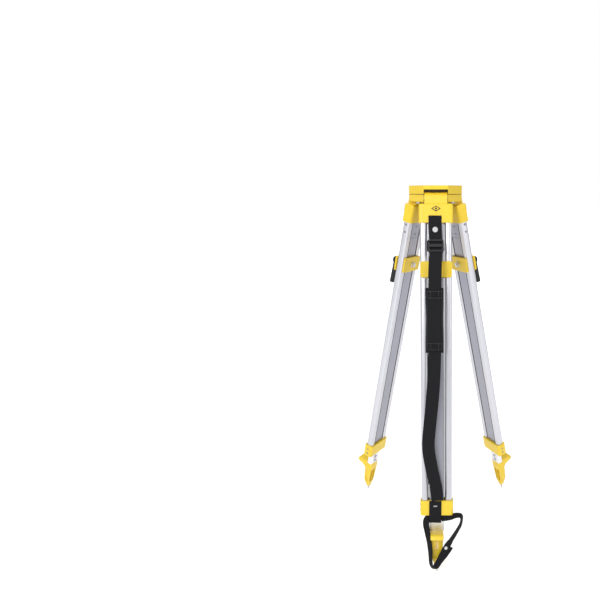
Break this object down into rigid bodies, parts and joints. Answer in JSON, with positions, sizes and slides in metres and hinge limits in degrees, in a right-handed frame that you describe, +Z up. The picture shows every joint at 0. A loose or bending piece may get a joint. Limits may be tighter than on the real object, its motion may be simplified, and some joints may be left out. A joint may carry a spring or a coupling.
{
  "type": "surveyor tripod",
  "caption": "Aluminium surveyor's tripod with a flat yellow head, sliding legs with cam clamps, stepped pointed feet and a carry strap.",
  "frame": {"origin": "centre of the head's flat top face, which is the tip of the fastening screw at rest", "axes": "+Z up, square to the head's top face; -Y towards the leg that carries the strap"},
  "size_m": [0.5524, 0.4817, 1.0401],
  "materials": {
    "yellow_paint": "satin",
    "leg_aluminium": "satin",
    "bright_steel": "bright",
    "dark_steel": "satin",
    "brass": "satin",
    "black_plastic": "satin",
    "black_webbing": "matte"
  },
  "bodies": {
    "head": {"head_plate": "yellow_paint", "hinge_frame": "yellow_paint", "frame_screws": "bright_steel", "hinge_pins": "bright_steel", "arm_pivot": "bright_steel"},
    "swing_arm": {"swing_arm": "bright_steel"},
    "arm_slider": {"arm_slider": "brass"},
    "fastening_screw": {"fastening_screw": "bright_steel", "hand_knob": "black_plastic", "plumb_hook": "bright_steel"},
    "outer_leg_front": {"hinge_block_front": "yellow_paint", "outer_tubes_front": "leg_aluminium", "tongue_plate_front": "leg_aluminium", "leg_rivets_front": "bright_steel", "lower_collar_front": "yellow_paint", "strap_top_tab": "black_webbing", "strap_slider": "black_plastic", "carry_webbing_upper": "black_webbing", "shoulder_pad": "black_webbing", "carry_webbing_lower": "black_webbing", "strap_end_tab": "black_webbing", "strap_rivets": "bright_steel", "binding_strap": "black_webbing"},
    "inner_leg_front": {"centre_bar_front": "leg_aluminium", "front_jaw_front": "yellow_paint", "back_jaw_front": "yellow_paint", "clamp_bolt_front": "bright_steel", "lever_pin_front": "bright_steel", "foot_front": "yellow_paint", "foot_bolts_front": "bright_steel", "steel_point_front": "dark_steel"},
    "cam_lever_front": {"cam_lever_front": "black_plastic"},
    "outer_leg_right": {"hinge_block_right": "yellow_paint", "outer_tubes_right": "leg_aluminium", "tongue_plate_right": "leg_aluminium", "leg_rivets_right": "bright_steel", "lower_collar_right": "yellow_paint"},
    "inner_leg_right": {"centre_bar_right": "leg_aluminium", "front_jaw_right": "yellow_paint", "back_jaw_right": "yellow_paint", "clamp_bolt_right": "bright_steel", "lever_pin_right": "bright_steel", "foot_right": "yellow_paint", "foot_bolts_right": "bright_steel", "steel_point_right": "dark_steel"},
    "cam_lever_right": {"cam_lever_right": "black_plastic"},
    "outer_leg_left": {"hinge_block_left": "yellow_paint", "outer_tubes_left": "leg_aluminium", "tongue_plate_left": "leg_aluminium", "leg_rivets_left": "bright_steel", "lower_collar_left": "yellow_paint"},
    "inner_leg_left": {"centre_bar_left": "leg_aluminium", "front_jaw_left": "yellow_paint", "back_jaw_left": "yellow_paint", "clamp_bolt_left": "bright_steel", "lever_pin_left": "bright_steel", "foot_left": "yellow_paint", "foot_bolts_left": "bright_steel", "steel_point_left": "dark_steel"},
    "cam_lever_left": {"cam_lever_left": "black_plastic"}
  },
  "joints": [
    {"name": "arm_swing", "type": "hinge", "parent": "head", "child": "swing_arm", "pos_m": [0, 0.039, -0.019], "axis": [0, 0, 1], "range_deg": [-14, 14]},
    {"name": "slider_travel", "type": "slide", "parent": "swing_arm", "child": "arm_slider", "axis": [0, 1, 0], "range_m": [-0.012, 0.012]},
    {"name": "screw_turn", "type": "hinge", "parent": "arm_slider", "child": "fastening_screw", "pos_m": [0, 0, 0], "axis": [0, 0, 1], "continuous": true},
    {"name": "leg_spread_front", "type": "hinge", "parent": "head", "child": "outer_leg_front", "pos_m": [0, -0.0525, -0.03], "axis": [-1, 0, 0], "range_deg": [-12.9, 17]},
    {"name": "leg_extend_front", "type": "slide", "parent": "outer_leg_front", "child": "inner_leg_front", "axis": [0, -0.2233, -0.9748], "range_m": [0, 0.6], "deforming": ["carry_webbing_lower", "binding_strap"]},
    {"name": "lever_open_front", "type": "hinge", "parent": "inner_leg_front", "child": "cam_lever_front", "pos_m": [0, -0.12502, -0.20421], "axis": [-1, 0, 0], "range_deg": [0, 90], "deforming": ["carry_webbing_upper", "shoulder_pad", "carry_webbing_lower"]},
    {"name": "leg_spread_right", "type": "hinge", "parent": "head", "child": "outer_leg_right", "pos_m": [0.04547, 0.02625, -0.03], "axis": [0.5, -0.866, 0], "range_deg": [-12.9, 17]},
    {"name": "leg_extend_right", "type": "slide", "parent": "outer_leg_right", "child": "inner_leg_right", "axis": [0.1933, 0.1116, -0.9748], "range_m": [0, 0.6]},
    {"name": "lever_open_right", "type": "hinge", "parent": "inner_leg_right", "child": "cam_lever_right", "pos_m": [0.10827, 0.06251, -0.20421], "axis": [0.5, -0.866, 0], "range_deg": [0, 90]},
    {"name": "leg_spread_left", "type": "hinge", "parent": "head", "child": "outer_leg_left", "pos_m": [-0.04547, 0.02625, -0.03], "axis": [0.5, 0.866, 0], "range_deg": [-12.9, 17]},
    {"name": "leg_extend_left", "type": "slide", "parent": "outer_leg_left", "child": "inner_leg_left", "axis": [-0.1933, 0.1116, -0.9748], "range_m": [0, 0.6]},
    {"name": "lever_open_left", "type": "hinge", "parent": "inner_leg_left", "child": "cam_lever_left", "pos_m": [-0.10827, 0.06251, -0.20421], "axis": [0.5, 0.866, 0], "range_deg": [0, 90]}
  ]
}
